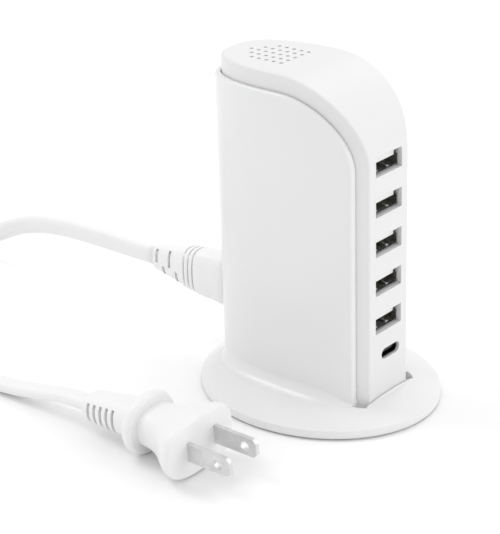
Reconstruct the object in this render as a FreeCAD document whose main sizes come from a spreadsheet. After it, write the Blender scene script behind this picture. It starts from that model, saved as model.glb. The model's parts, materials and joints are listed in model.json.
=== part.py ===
"""A desktop charging tower: five USB-A sockets and one USB-C socket in a curved white housing,
a sleeve with a flared oval foot, the power supply inside, and a detachable mains lead.

Millimetres, +Z up. The origin is the middle of the underside, and the sockets face -Y.
"""
import FreeCAD, Part
import math
import os

import Sketcher
from FreeCAD import Placement, Rotation, Vector

SIZES = {
    # the tower
    "tower_height": 114.5,
    "core_half_width": 16.5,
    "core_half_length": 33.2,
    "core_centre_back": 1,
    "plan_power": 2.7,
    "face_forward": 28.5,
    "arch_depth": 32.5,
    "arch_drop": 27.2,
    "wall": 2,
    "edge_round": 0.9,
    "core_bottom": 5.5,
    # the sleeve and its foot
    "sleeve_proud": 2,
    "skirt_set_in": 0.07,
    "sleeve_gap": 0.35,
    "sleeve_front": 25,
    "sleeve_top": 108.5,
    "sleeve_arch_depth": 27,
    "sleeve_arch_drop": 22.5,
    "foot_width": 73.6,
    "foot_depth": 85.4,
    "foot_bottom": 0.7,
    "rim_height": 3.4,
    "flare_height": 6.4,
    "flare_radius": 4.8,
    "flare_share": 0.25,
    "flare_sink": 0.05,
    "skirt_front": 26.6,
    "skirt_front_power": 3.5,
    "web_thickness": 2,
    "cover_inset": 2.6,
    "cover_thickness": 1.5,
    "pad_width": 56,
    "pad_depth": 66,
    "pad_thickness": 1.6,
    "boss_radius": 3,
    "boss_side": 9.5,
    "boss_front": 17,
    "boss_rear": 19,
    "boss_height": 10,
    "screw_radius": 1.25,
    "screw_head_radius": 2.2,
    "screw_head_height": 1.3,
    "screw_slack": 0.15,
    "board_screw_radius": 1,
    "board_screw_length": 4.6,
    "board_screw_head": 1.9,
    "board_screw_head_height": 1.2,
    "notch_rise": 1.3,
    # the sockets
    "top_port_height": 87,
    "port_pitch": 13.53,
    "usb_c_height": 21.2,
    "usb_c_side": 1.2,
    "usb_c_hole_width": 9.8,
    "usb_c_hole_height": 3.7,
    "usb_a_hole_width": 13.9,
    "usb_a_hole_height": 6.5,
    "usb_a_width": 13.3,
    "usb_a_tall": 5.9,
    "usb_a_deep": 12.6,
    "usb_c_width": 8.94,
    "usb_c_tall": 3.16,
    "usb_c_deep": 10.6,
    "usb_c_recess": 0.8,
    "can_sheet": 0.3,
    "can_recess": 1.5,
    "tongue_thick": 1.95,
    "tongue_back": 3,
    "tongue_set_in": 0.8,
    "contact_set_in": 1.4,
    "contact_width": 1.1,
    "contact_sheet": 0.25,
    # the boards and what stands on them
    "board_thickness": 1.6,
    "usb_board_width": 22,
    "usb_board_tall": 82.5,
    "usb_board_low": 16.5,
    "power_board_deep": 33,
    "power_board_tall": 86,
    "power_board_low": 16.5,
    "power_board_side": 9.2,
    "power_board_front": 9,
    "vent_radius": 0.7,
    "vent_pitch_across": 3.56,
    "vent_pitch_along": 3,
    "vent_front": 8.3,
    # the power supply's components
    "bulk_radius": 5,
    "bulk_length": 18,
    "output_radius": 4,
    "output_length": 12,
    "disc_radius": 3.6,
    "disc_thickness": 2.6,
    "fuse_radius": 1.9,
    "fuse_length": 11,
    "choke_radius": 4.4,
    "choke_core": 1.8,
    "choke_wrap": 2.3,
    "choke_wire": 0.45,
    "transformer_wide": 22,
    "transformer_tall": 20,
    "transformer_deep": 7,
    "window_wide": 5,
    "window_tall": 14,
    "sink_wide": 15,
    "sink_sheet": 1.5,
    "sink_tall": 26,
    "guard_sheet": 0.3,
    "guard_gap": 0.4,
    "guard_wide": 29,
    "guard_tall": 80,
    # the mains inlet and the lead
    "inlet_height": 29.4,
    "inlet_back": 35.7,
    "inlet_tall": 20,
    "inlet_wide": 12.6,
    "inlet_deep": 17,
    "nose_tall": 15.8,
    "nose_wide": 8.1,
    "nose_deep": 12.4,
    "nose_gap": 0.3,
    "pin_radius": 1.2,
    "pin_spread": 4.3,
    "inlet_slack": 0.15,
    "wire_radius": 0.9,
    "connector_wide": 11.4,
    "connector_tall": 18.4,
    "connector_neck_wide": 10.8,
    "connector_neck_tall": 16.9,
    "ring_pitch": 2.15,
    "relief_wide": 9.8,
    "relief_tall": 15,
    "relief_tip_wide": 6,
    "relief_tip_tall": 9.2,
    "relief_slot": 1.3,
    "relief_slot_pitch": 3.35,
    "cord_width": 7,
    "cord_thickness": 4.4,
    "coil_radius": 35,
    "coil_half_band": 8.6,
    "coil_height": 14.2,
    "tie_thickness": 0.8,
    "coil_left": 34,
    "coil_back": 199,
    # the plug
    "plug_left": 67.9,
    "plug_face": 6.5,
    "plug_height": 10.45,
    "plug_roll": 3.7,
    "plug_wide": 30,
    "plug_tall": 19.2,
    "collar_wide": 22,
    "collar_tall": 20,
    "plug_relief_wide": 14.4,
    "plug_relief_tall": 13,
    "plug_tip_wide": 10.4,
    "plug_tip_tall": 9,
    "plug_slot_pitch": 3,
    "relief_sag": 2,
    "blade_spread": 6.35,
    "blade_width": 6.35,
    "blade_thick": 1.5,
    "blade_length": 17,
    "blade_hole_radius": 1.6,
    "blade_hole_out": 12.4,
    "blade_root": 5,
    "blade_chamfer": 1.2,
}

doc = FreeCAD.newDocument("ChargingTower")
sheet = doc.addObject("Spreadsheet::Sheet", "Sizes")
for row, (alias, number) in enumerate(SIZES.items(), start=1):
    sheet.set(f"A{row}", alias)
    sheet.set(f"B{row}", str(number))
    sheet.setAlias(f"B{row}", alias)
doc.recompute()

parts = {}
UP = Vector(0, 0, 1)
BACK = Vector(0, 1, 0)
RIGHT = Vector(1, 0, 0)
STAND_UP = Rotation(RIGHT, 90)
OUTLINE_POINTS = 48
# Longer than anything that a cutter has to cross.
SPAN = 40


def size(alias):
    """A driving dimension, read from the sheet."""
    return float(sheet.get(alias))


def at(x, y, z, rotation=None):
    return Placement(Vector(x, y, z), rotation or Rotation())


def bind(item, formulas):
    """Ties properties of a document object to the sheet."""
    for name, formula in formulas.items():
        item.setExpression(name, formula)
    return item


def keep(label, item):
    """Names a finished sub-part; its label becomes its file's name."""
    item.Label = label
    parts[label] = item
    return item


def shape_part(label, shape, place=None):
    """A sub-part whose shape needs Part's own functions."""
    item = doc.addObject("Part::Feature", label)
    item.Shape = shape
    item.Placement = place or Placement()
    return keep(label, item)


def primitive(kind, name, formulas, place):
    item = doc.addObject("Part::" + kind, name)
    bind(item, formulas)
    item.Placement = place
    return item


def box(name, formulas, place):
    """A Part box from three formulas for its sizes along X, Y and Z."""
    return primitive("Box", name, dict(zip(("Length", "Width", "Height"), formulas)), place)


def cylinder(name, radius, height, place):
    return primitive("Cylinder", name, {"Radius": radius, "Height": height}, place)


def cut(name, base, tool):
    item = doc.addObject("Part::Cut", name)
    item.Base = base
    item.Tool = tool
    return item


def fuse(name, items):
    item = doc.addObject("Part::MultiFuse", name)
    item.Shapes = items
    return item


def group(name, items):
    """Separate solids that share one node."""
    item = doc.addObject("Part::Compound", name)
    item.Links = items
    return item


# ---------------------------------------------------------------- PartDesign helpers


def new_body(label, place=None):
    body = doc.addObject("PartDesign::Body", label)
    body.Placement = place or Placement()
    return keep(label, body)


def origin_plane(body, role):
    return next(f for f in body.Origin.OriginFeatures if f.Role == role)


def new_sketch(body, name, role):
    sketch = body.newObject("Sketcher::SketchObject", name)
    sketch.AttachmentSupport = [(origin_plane(body, role), "")]
    sketch.MapMode = "FlatFace"
    return sketch


def add_rectangle(sketch, width, height, middle=(0, 0)):
    """A rectangle about a point, whose width and height follow the sheet's formulas."""
    mx, my = middle
    corners = [(mx - 1, my - 1), (mx + 1, my - 1), (mx + 1, my + 1), (mx - 1, my + 1)]
    first = sketch.GeometryCount
    for k in range(4):
        start, end = corners[k], corners[(k + 1) % 4]
        sketch.addGeometry(Part.LineSegment(Vector(*start, 0), Vector(*end, 0)), False)
    for k in range(4):
        sketch.addConstraint(
            Sketcher.Constraint("Coincident", first + k, 2, first + (k + 1) % 4, 1)
        )
    for k, kind in enumerate(("Horizontal", "Vertical", "Horizontal", "Vertical")):
        sketch.addConstraint(Sketcher.Constraint(kind, first + k))
    centre = sketch.addGeometry(Part.Point(Vector(mx, my, 0)), True)
    sketch.addConstraint(Sketcher.Constraint("DistanceX", centre, 1, mx))
    sketch.addConstraint(Sketcher.Constraint("DistanceY", centre, 1, my))
    sketch.addConstraint(Sketcher.Constraint("Symmetric", first, 1, first + 2, 1, centre, 1))
    wide = sketch.addConstraint(Sketcher.Constraint("DistanceX", first, 1, first, 2, 2.0))
    tall = sketch.addConstraint(Sketcher.Constraint("DistanceY", first + 1, 1, first + 1, 2, 2.0))
    sketch.setExpression(f"Constraints[{wide}]", width)
    sketch.setExpression(f"Constraints[{tall}]", height)


def add_circle(sketch, radius, middle):
    """A circle at a fixed point, whose radius follows a formula."""
    mx, my = middle
    ring = sketch.addGeometry(Part.Circle(Vector(mx, my, 0), UP, 1), False)
    sketch.addConstraint(Sketcher.Constraint("DistanceX", ring, 3, mx))
    sketch.addConstraint(Sketcher.Constraint("DistanceY", ring, 3, my))
    wide = sketch.addConstraint(Sketcher.Constraint("Radius", ring, 1.0))
    sketch.setExpression(f"Constraints[{wide}]", radius)


def pad(body, name, sketch, length):
    item = body.newObject("PartDesign::Pad", name)
    item.Profile = sketch
    item.setExpression("Length", length)
    doc.recompute()
    return item


def pocket(body, name, sketch, length=None):
    """Cuts a sketch out of the body, turning the direction round if it removes nothing."""
    before = body.Shape.Volume
    item = body.newObject("PartDesign::Pocket", name)
    item.Profile = sketch
    if length is None:
        item.Type = "ThroughAll"
        item.Midplane = True
    else:
        item.setExpression("Length", length)
    doc.recompute()
    if body.Shape.Volume > before - 1e-6:
        item.Reversed = True
        doc.recompute()
    if body.Shape.Volume > before - 1e-6:
        raise RuntimeError(f"{name} cuts nothing")
    return item


# ---------------------------------------------------------------- curves of the tower


def oval(half_width, half_front, half_back, centre, front_power, back_power, height):
    """A closed curve |x/a|^n + |y/b|^n = 1 whose front and back halves have their own b and n."""
    points = []
    for k in range(OUTLINE_POINTS):
        turn = 2 * math.pi * k / OUTLINE_POINTS
        across, along = math.cos(turn), math.sin(turn)
        power = back_power if along >= 0 else front_power
        reach = half_back if along >= 0 else half_front
        x = half_width * math.copysign(abs(across) ** (2 / power), across)
        y = centre + reach * math.copysign(abs(along) ** (2 / power), along)
        points.append(Vector(x, y, height))
    return points


def closed_wire(points):
    curve = Part.BSplineCurve()
    curve.interpolate(Points=points, PeriodicFlag=True)
    return Part.Wire([curve.toShape()])


def column(half_width, half_length, low, high):
    """An upright block with the tower's plan."""
    power = size("plan_power")
    plan = oval(half_width, half_length, half_length, size("core_centre_back"), power, power, low)
    return Part.Face(closed_wire(plan)).extrude(Vector(0, 0, high - low))


def side_profile(front, low, high, arch_depth, arch_drop):
    """A block as wide as the tower, with the arched outline of its side."""
    reach = 80
    spring = high - arch_drop
    centre = Vector(-reach / 2, front + arch_depth, spring)
    ellipse = Part.Ellipse(
        centre + Vector(0, -arch_depth, 0), centre + Vector(0, 0, arch_drop), centre
    )
    arch = Part.ArcOfEllipse(ellipse, 0, math.pi / 2)
    corners = [
        Vector(-reach / 2, front, spring),
        Vector(-reach / 2, front, low),
        Vector(-reach / 2, reach, low),
        Vector(-reach / 2, reach, high),
        Vector(-reach / 2, front + arch_depth, high),
    ]
    edges = [Part.LineSegment(a, b).toShape() for a, b in zip(corners, corners[1:])]
    outline = Part.Wire(Part.__sortEdges__([arch.toShape()] + edges))
    return Part.Face(outline).extrude(Vector(reach, 0, 0))


def round_upper_edges(block, radius, low):
    """Fillets every edge of a block that doesn't lie on its underside."""
    edges = [e for e in block.Edges if e.BoundBox.ZMax > low + 0.01]
    edges = [e for e in edges if e.Length > 1]
    return block.makeFillet(radius, edges)


def core_block(inset):
    low = size("core_bottom")
    block = column(
        size("core_half_width") - inset, size("core_half_length") - inset,
        low - inset, size("tower_height") + 5,
    )
    profile = side_profile(
        -size("face_forward") + inset, low - inset, size("tower_height") - inset,
        size("arch_depth") - inset, size("arch_drop") - inset,
    )
    return block.common(profile)


def slot_block(width, height, depth, x, y, z):
    """An upright stadium seen along Y: its round ends are above each other."""
    radius = width / 2
    reach = height / 2 - radius
    top, bottom = Vector(x, y, z + reach), Vector(x, y, z - reach)
    ends = Part.makeCylinder(radius, depth, top, BACK).fuse(
        Part.makeCylinder(radius, depth, bottom, BACK)
    )
    middle = Part.makeBox(width, depth, 2 * reach, Vector(x - radius, y, z - reach))
    return ends.fuse(middle).removeSplitter()


def flat_slot(width, height, depth, x, y, z):
    """The same lying down: its round ends are side by side."""
    block = slot_block(height, width, depth, 0, 0, 0)
    block.Placement = Placement(Vector(x, y, z), Rotation(BACK, 90))
    return block


# ---------------------------------------------------------------- housing and sleeve

FACE = -size("face_forward")
PORT_HEIGHTS = [size("top_port_height") - k * size("port_pitch") for k in range(5)]
BOSSES = [
    (side * size("boss_side"), y)
    for y in (-size("boss_front"), size("boss_rear"))
    for side in (-1, 1)
]
USB_BOARD_FRONT = FACE + size("can_recess") + size("usb_a_deep")
USB_BOARD_BACK = USB_BOARD_FRONT + size("board_thickness")
USB_BOARD_SCREWS = [(-9.2, 81.5), (9.2, 40.8)]
POWER_BOARD_SCREWS = [(-5.5, 29), (19.5, 92)]
VENT_ROWS = (5, 5, 5, 5, 5, 3, 1)
FRONT_POST_RADIUS = 2
SIDE_POST_RADIUS = 2.4
# The slit at each corner of the port face, from the middle outwards and back from the face.
NOTCH_PLAN = [(10.6, -0.35), (13.4, -0.75), (15.1, 1.4), (15.6, 3.4), (13, 3.4)]
# How deep the two boards' screw holes go, and how much wider than a screw every hole is.
FRONT_BORE = 7
SIDE_BORE = 2.2
THREAD_SLACK = 0.02


def make_front_housing():
    """The inner housing: the port face, the arched top with its vents, and the hollow column."""
    wall, low = size("wall"), size("core_bottom")
    shell = round_upper_edges(core_block(0), size("edge_round"), low).cut(core_block(wall))
    inside = core_block(0.5)
    additions = []
    for x, y in BOSSES:
        additions.append(
            Part.makeCylinder(size("boss_radius"), size("boss_height"), Vector(x, y, low), UP)
        )
    for x, z in USB_BOARD_SCREWS:
        post = Part.makeCylinder(FRONT_POST_RADIUS, USB_BOARD_FRONT - FACE, Vector(x, FACE, z), BACK)
        additions.append(post.common(inside))
    board_back = size("power_board_side") + size("board_thickness")
    for y, z in POWER_BOARD_SCREWS:
        post = Part.makeCylinder(SIDE_POST_RADIUS, 8, Vector(board_back, y, z), RIGHT)
        additions.append(post.common(inside))
    shell = shell.fuse(additions)
    cutters = []
    for x, y in BOSSES:
        bore = size("screw_radius") + THREAD_SLACK
        cutters.append(Part.makeCylinder(bore, size("boss_height") - 2, Vector(x, y, low), UP))
    bore = size("board_screw_radius") + THREAD_SLACK
    for x, z in USB_BOARD_SCREWS:
        start = Vector(x, USB_BOARD_FRONT - FRONT_BORE, z)
        cutters.append(Part.makeCylinder(bore, FRONT_BORE, start, BACK))
    for y, z in POWER_BOARD_SCREWS:
        cutters.append(Part.makeCylinder(bore, SIDE_BORE, Vector(board_back, y, z), RIGHT))
    for height in PORT_HEIGHTS:
        wide, tall = size("usb_a_hole_width"), size("usb_a_hole_height")
        corner = Vector(-wide / 2, FACE - 1, height - tall / 2)
        cutters.append(Part.makeBox(wide, wall + 1.5, tall, corner))
    cutters.append(
        flat_slot(
            size("usb_c_hole_width"), size("usb_c_hole_height"), wall + 1.5,
            size("usb_c_side"), FACE - 1, size("usb_c_height"),
        )
    )
    for row, count in enumerate(VENT_ROWS):
        y = size("vent_front") + row * size("vent_pitch_along")
        for k in range(count):
            x = (k - (count - 1) / 2) * size("vent_pitch_across")
            base = Vector(x, y, size("tower_height") - wall - 0.5)
            cutters.append(Part.makeCylinder(size("vent_radius"), wall + 2, base, UP))
    cutters.append(inlet_hole(size("inlet_back") - 10))
    return shell.cut(cutters)


def inlet_hole(start):
    """A rectangular cutter round the mains inlet, from a place along Y to behind the tower."""
    slack = size("inlet_slack")
    wide, tall = size("inlet_wide") + 2 * slack, size("inlet_tall") + 2 * slack
    corner = Vector(-wide / 2, start, size("inlet_height") - tall / 2)
    return Part.makeBox(wide, 12, tall, corner)


def skirt_section(share, height, inset=0.0):
    """The foot's outline at one height: share 0 is the tower's own outline, and 1 is the rim."""
    proud = size("sleeve_proud") - size("skirt_set_in") - inset
    centre = size("core_centre_back")
    tower = oval(
        size("core_half_width") + proud, size("skirt_front") + centre - inset,
        size("core_half_length") + proud, centre,
        size("skirt_front_power"), size("plan_power"), height,
    )
    rim = oval(
        size("foot_width") / 2 - inset, size("foot_depth") / 2 - inset,
        size("foot_depth") / 2 - inset, 0, 2, 2, height,
    )
    return closed_wire([a * (1 - share) + b * share for a, b in zip(tower, rim)])


def make_skirt():
    """The flared foot: a rounded rim, a gentle slope, and a hollow curve up to the sleeve."""
    radius, share = size("flare_radius"), size("flare_share")
    low, rim, flare = size("foot_bottom"), size("rim_height"), size("flare_height")
    # The hollow is sunk into the slope, so that the two overlap and don't only share a face.
    base = flare - size("flare_sink")
    steps = [math.radians(a) for a in (90, 70, 50, 32, 16, 0)]
    hollow = [
        skirt_section(share * (1 - math.cos(a)), base + radius * (1 - math.sin(a)))
        for a in steps
    ]
    bulge = 0.988
    slope = [
        skirt_section(bulge, rim),
        skirt_section(0.72, rim + 0.42 * (flare - rim)),
        skirt_section(0.46, rim + 0.77 * (flare - rim)),
        skirt_section(share, flare),
    ]
    edge = [
        skirt_section(bulge, low),
        skirt_section(1.0, low + 0.3 * (rim - low)),
        skirt_section(1.0, low + 0.62 * (rim - low)),
        skirt_section(bulge, rim),
    ]
    lofts = [Part.makeLoft(sections, True, False) for sections in (edge, slope, hollow)]
    skirt = lofts[0].fuse(lofts[1:])
    if skirt.BoundBox.ZMax < flare + radius / 2:
        raise RuntimeError("the foot has lost its hollow curve")
    return skirt


def make_outer_shell():
    """The sleeve round the sides and back, in one piece with the foot."""
    proud, gap = size("sleeve_proud"), size("sleeve_gap")
    web_low = size("core_bottom") - size("web_thickness")
    under = size("foot_bottom") + size("cover_thickness")
    block = column(
        size("core_half_width") + proud, size("core_half_length") + proud,
        web_low, size("sleeve_top") + 5,
    )
    profile = side_profile(
        -size("sleeve_front"), web_low, size("sleeve_top"),
        size("sleeve_arch_depth"), size("sleeve_arch_drop"),
    )
    sleeve = round_upper_edges(block.common(profile), size("edge_round"), web_low)
    solid = sleeve.fuse(make_skirt())
    room = column(
        size("core_half_width") + gap, size("core_half_length") + gap,
        size("core_bottom"), size("tower_height") + 5,
    )
    front_cut = Part.makeBox(80, 40, 200, Vector(-40, FACE - gap - 40, 0))
    cutters = [room.cut(front_cut)]
    for side in (-1, 1):
        corners = [
            Vector(side * x, FACE + y, size("core_bottom") - size("notch_rise"))
            for x, y in NOTCH_PLAN
        ]
        notch = Part.Face(Part.makePolygon(corners + corners[:1]))
        cutters.append(notch.extrude(Vector(0, 0, 12)))
    recess = skirt_section(1.0, 0, size("cover_inset") - 0.2)
    cutters.append(Part.Face(recess).extrude(Vector(0, 0, under + 0.1)))
    cutters.append(
        Part.makeLoft(
            [skirt_section(0.93, under, 2.2), skirt_section(0.68, web_low, 2.2)], True, True
        )
    )
    cutters.append(inlet_hole(size("inlet_back") - 6))
    for x, y in BOSSES:
        bore = size("screw_radius") + size("screw_slack")
        cutters.append(Part.makeCylinder(bore, 6, Vector(x, y, web_low - 1), UP))
    return solid.cut(cutters)


def add_bottom_cover():
    """An oval plate with four posts that press on the sleeve's web, and countersinks under them."""
    low = size("foot_bottom") + 0.1
    body = new_body("bottom_cover", at(0, 0, low))
    plate = new_sketch(body, "cover_outline", "XY_Plane")
    half_x = size("foot_width") / 2 - size("cover_inset")
    half_y = size("foot_depth") / 2 - size("cover_inset")
    rim = Part.Ellipse(Vector(0, half_y, 0), Vector(half_x, 0, 0), Vector(0, 0, 0))
    plate.addGeometry(rim, False)
    plate.addConstraint(Sketcher.Constraint("Coincident", 0, 3, -1, 1))
    pad(body, "cover_plate", plate, "Sizes.cover_thickness")
    posts = new_sketch(body, "post_rings", "XY_Plane")
    for x, y in BOSSES:
        add_circle(posts, "Sizes.boss_radius", (x, y))
    reach = "Sizes.core_bottom - Sizes.web_thickness - Sizes.foot_bottom - 0.1"
    pad(body, "cover_posts", posts, reach)
    holes = new_sketch(body, "screw_holes", "XY_Plane")
    for x, y in BOSSES:
        add_circle(holes, "Sizes.screw_radius + Sizes.screw_slack", (x, y))
    pocket(body, "cover_holes", holes)
    seats = new_sketch(body, "head_seats", "XY_Plane")
    for x, y in BOSSES:
        add_circle(seats, "Sizes.screw_head_radius + Sizes.screw_slack", (x, y))
    depth = "Sizes.screw_head_height + Sizes.pad_thickness - Sizes.foot_bottom"
    pocket(body, "cover_seats", seats, depth)
    recess = new_sketch(body, "pad_recess", "XY_Plane")
    pad_ring = Part.Ellipse(
        Vector(0, size("pad_depth") / 2 + 0.2, 0),
        Vector(size("pad_width") / 2 + 0.2, 0, 0),
        Vector(0, 0, 0),
    )
    recess.addGeometry(pad_ring, False)
    recess.addConstraint(Sketcher.Constraint("Coincident", 0, 3, -1, 1))
    pocket(body, "cover_recess", recess, "Sizes.pad_thickness - Sizes.foot_bottom - 0.1")


def add_pad():
    """The rubber pad that the tower stands on; it hides the screws."""
    body = new_body("anti_slip_pad")
    outline = new_sketch(body, "pad_outline", "XY_Plane")
    ring = Part.Ellipse(
        Vector(0, size("pad_depth") / 2, 0), Vector(size("pad_width") / 2, 0, 0), Vector(0, 0, 0)
    )
    outline.addGeometry(ring, False)
    outline.addConstraint(Sketcher.Constraint("Coincident", 0, 3, -1, 1))
    pad(body, "pad_sheet", outline, "Sizes.pad_thickness")


def screw(name, radius, length, head_radius, head_height, place):
    """A plain screw whose head's outer face is at its origin, pointing up its own Z."""
    head = cylinder(name + "_head", head_radius, head_height, Placement())
    shank = cylinder(name + "_shank", radius, length, Placement())
    joined = fuse(name, [head, shank])
    joined.Placement = place
    return joined


def add_screws():
    low = size("pad_thickness") + 0.05
    screws = [
        screw(
            f"cover_screw_{k}", "Sizes.screw_radius", "Sizes.boss_height + 1.5",
            "Sizes.screw_head_radius", "Sizes.screw_head_height", at(x, y, low),
        )
        for k, (x, y) in enumerate(BOSSES)
    ]
    keep("cover_screws", group("cover_screws", screws))
    head = size("board_screw_head_height")
    places = [at(x, USB_BOARD_BACK + head, z, STAND_UP) for x, z in USB_BOARD_SCREWS]
    side = size("power_board_side") - head
    places += [at(side, y, z, Rotation(BACK, 90)) for y, z in POWER_BOARD_SCREWS]
    small = [
        screw(
            f"board_screw_{k}", "Sizes.board_screw_radius", "Sizes.board_screw_length",
            "Sizes.board_screw_head", "Sizes.board_screw_head_height", place,
        )
        for k, place in enumerate(places)
    ]
    keep("board_screws", group("board_screws", small))


# ---------------------------------------------------------------- sockets

USB_A_CONTACTS = (-3.5, -1.0, 1.0, 3.5)
# The room above a USB-A tongue, where the plug's own shell goes.
CAN_ROOM = 0.25
USB_C_CONTACTS = 8
USB_C_PITCH = 0.72


def add_usb_a(number, height):
    """One USB-A socket: a folded steel can, the white tongue with its rear block, four contacts."""
    can = new_body(f"usb_a_can_{number}", at(0, FACE + size("can_recess"), height, STAND_UP))
    outline = new_sketch(can, f"can_outline_{number}", "XY_Plane")
    add_rectangle(outline, "Sizes.usb_a_width", "Sizes.usb_a_tall")
    add_rectangle(
        outline, "Sizes.usb_a_width - 2 * Sizes.can_sheet", "Sizes.usb_a_tall - 2 * Sizes.can_sheet"
    )
    sleeve = pad(can, f"can_sleeve_{number}", outline, "Sizes.usb_a_deep")
    sleeve.Reversed = True
    mouth = FACE + size("can_recess")
    back = USB_BOARD_FRONT - size("tongue_back")
    half_wide = size("usb_a_width") / 2 - size("can_sheet")
    half_tall = size("usb_a_tall") / 2 - size("can_sheet")
    fit = 0.05
    block = box(
        f"socket_block_{number}",
        (
            f"Sizes.usb_a_width - 2 * Sizes.can_sheet - 2 * {fit}", "Sizes.tongue_back",
            f"Sizes.usb_a_tall - 2 * Sizes.can_sheet - 2 * {fit}",
        ),
        at(fit - half_wide, back, height - half_tall + fit),
    )
    under = height + half_tall - size("tongue_thick") - CAN_ROOM
    leaf_side = 0.75
    leaf = box(
        f"socket_leaf_{number}",
        (
            f"Sizes.usb_a_width - 2 * Sizes.can_sheet - 2 * {leaf_side}",
            "Sizes.usb_a_deep - Sizes.tongue_back - Sizes.tongue_set_in + 0.2",
            "Sizes.tongue_thick",
        ),
        at(leaf_side - half_wide, mouth + size("tongue_set_in"), under),
    )
    keep(f"usb_a_tongue_{number}", fuse(f"usb_a_tongue_{number}", [block, leaf]))
    strips = [
        box(
            f"strip_{number}_{k}",
            (
                "Sizes.contact_width",
                "Sizes.usb_a_deep - Sizes.tongue_back - Sizes.contact_set_in - 0.8",
                "Sizes.contact_sheet",
            ),
            at(
                x - size("contact_width") / 2, mouth + size("contact_set_in"),
                under - size("contact_sheet"),
            ),
        )
        for k, x in enumerate(USB_A_CONTACTS)
    ]
    keep(f"usb_a_contacts_{number}", group(f"usb_a_contacts_{number}", strips))


def add_usb_c():
    """The USB-C socket: an oval can, a thin central tongue and its gold strips on both faces."""
    height, mouth = size("usb_c_height"), FACE + size("usb_c_recess")
    side, sheet_thick = size("usb_c_side"), size("can_sheet")
    wide, tall, deep = size("usb_c_width"), size("usb_c_tall"), size("usb_c_deep")
    inner_wide, inner_tall = wide - 2 * sheet_thick, tall - 2 * sheet_thick
    outer = flat_slot(wide, tall, deep, side, mouth, height)
    inner = flat_slot(inner_wide, inner_tall, deep, side, mouth, height)
    shape_part("usb_c_can", outer.cut(inner))
    back = size("tongue_back")
    block = flat_slot(inner_wide - 0.1, inner_tall - 0.1, back, side, mouth + deep - back, height)
    leaf_wide, leaf_thick = 6.6, 0.7
    leaf = Part.makeBox(
        leaf_wide, deep - size("contact_set_in") - size("tongue_set_in"), leaf_thick,
        Vector(side - leaf_wide / 2, mouth + size("tongue_set_in"), height - leaf_thick / 2),
    )
    stem_wide, stem_tall = 9, 3
    stem = Part.makeBox(
        stem_wide, USB_BOARD_FRONT - mouth - deep, stem_tall,
        Vector(side - stem_wide / 2, mouth + deep, height - stem_tall / 2),
    )
    shape_part("usb_c_tongue", block.fuse([leaf, stem]).removeSplitter())
    strip_wide, strip_thick = 0.32, 0.08
    start = side - (USB_C_CONTACTS - 1) / 2 * USB_C_PITCH - strip_wide / 2
    strips = [
        Part.makeBox(
            strip_wide, deep - back - size("contact_set_in") - 0.6, strip_thick,
            Vector(start + USB_C_PITCH * k, mouth + size("contact_set_in"), height + level),
        )
        for level in (leaf_thick / 2, -leaf_thick / 2 - strip_thick)
        for k in range(USB_C_CONTACTS)
    ]
    shape_part("usb_c_contacts", Part.makeCompound(strips))


def add_boards():
    """The socket board behind the ports and the power board beside the transformer."""
    usb = new_body("usb_board", at(0, USB_BOARD_BACK, 0, STAND_UP))
    outline = new_sketch(usb, "usb_board_outline", "XY_Plane")
    middle = size("usb_board_low") + size("usb_board_tall") / 2
    add_rectangle(outline, "Sizes.usb_board_width", "Sizes.usb_board_tall", (0, middle))
    pad(usb, "usb_board_sheet", outline, "Sizes.board_thickness")
    holes = new_sketch(usb, "usb_board_holes", "XY_Plane")
    for x, z in USB_BOARD_SCREWS:
        add_circle(holes, "Sizes.board_screw_radius + Sizes.screw_slack", (x, z))
    pocket(usb, "usb_board_drill", holes)
    turn = Rotation(UP, 90).multiply(STAND_UP)
    power = new_body("power_board", at(size("power_board_side"), 0, 0, turn))
    plan = new_sketch(power, "power_board_outline", "XY_Plane")
    mid_y = -size("power_board_front") + size("power_board_deep") / 2
    mid_z = size("power_board_low") + size("power_board_tall") / 2
    add_rectangle(plan, "Sizes.power_board_deep", "Sizes.power_board_tall", (mid_y, mid_z))
    pad(power, "power_board_sheet", plan, "Sizes.board_thickness")
    drill = new_sketch(power, "power_board_holes", "XY_Plane")
    for y, z in POWER_BOARD_SCREWS:
        add_circle(drill, "Sizes.board_screw_radius + Sizes.screw_slack", (y, z))
    pocket(power, "power_board_drill", drill)
    header = box(
        "board_header", ("3.6", "Sizes.board_thickness + 2.4", "12"),
        at(5.5, USB_BOARD_BACK, 84),
    )
    keep("board_header", header)


# ---------------------------------------------------------------- power supply

CHOKE_WRAPS = 4


def lying_cylinder(name, radius, length, y, z):
    """A cylinder that stands on the power board, along -X."""
    start = at(size("power_board_side"), y, z, Rotation(BACK, -90))
    return cylinder(name, radius, length, start)


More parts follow.
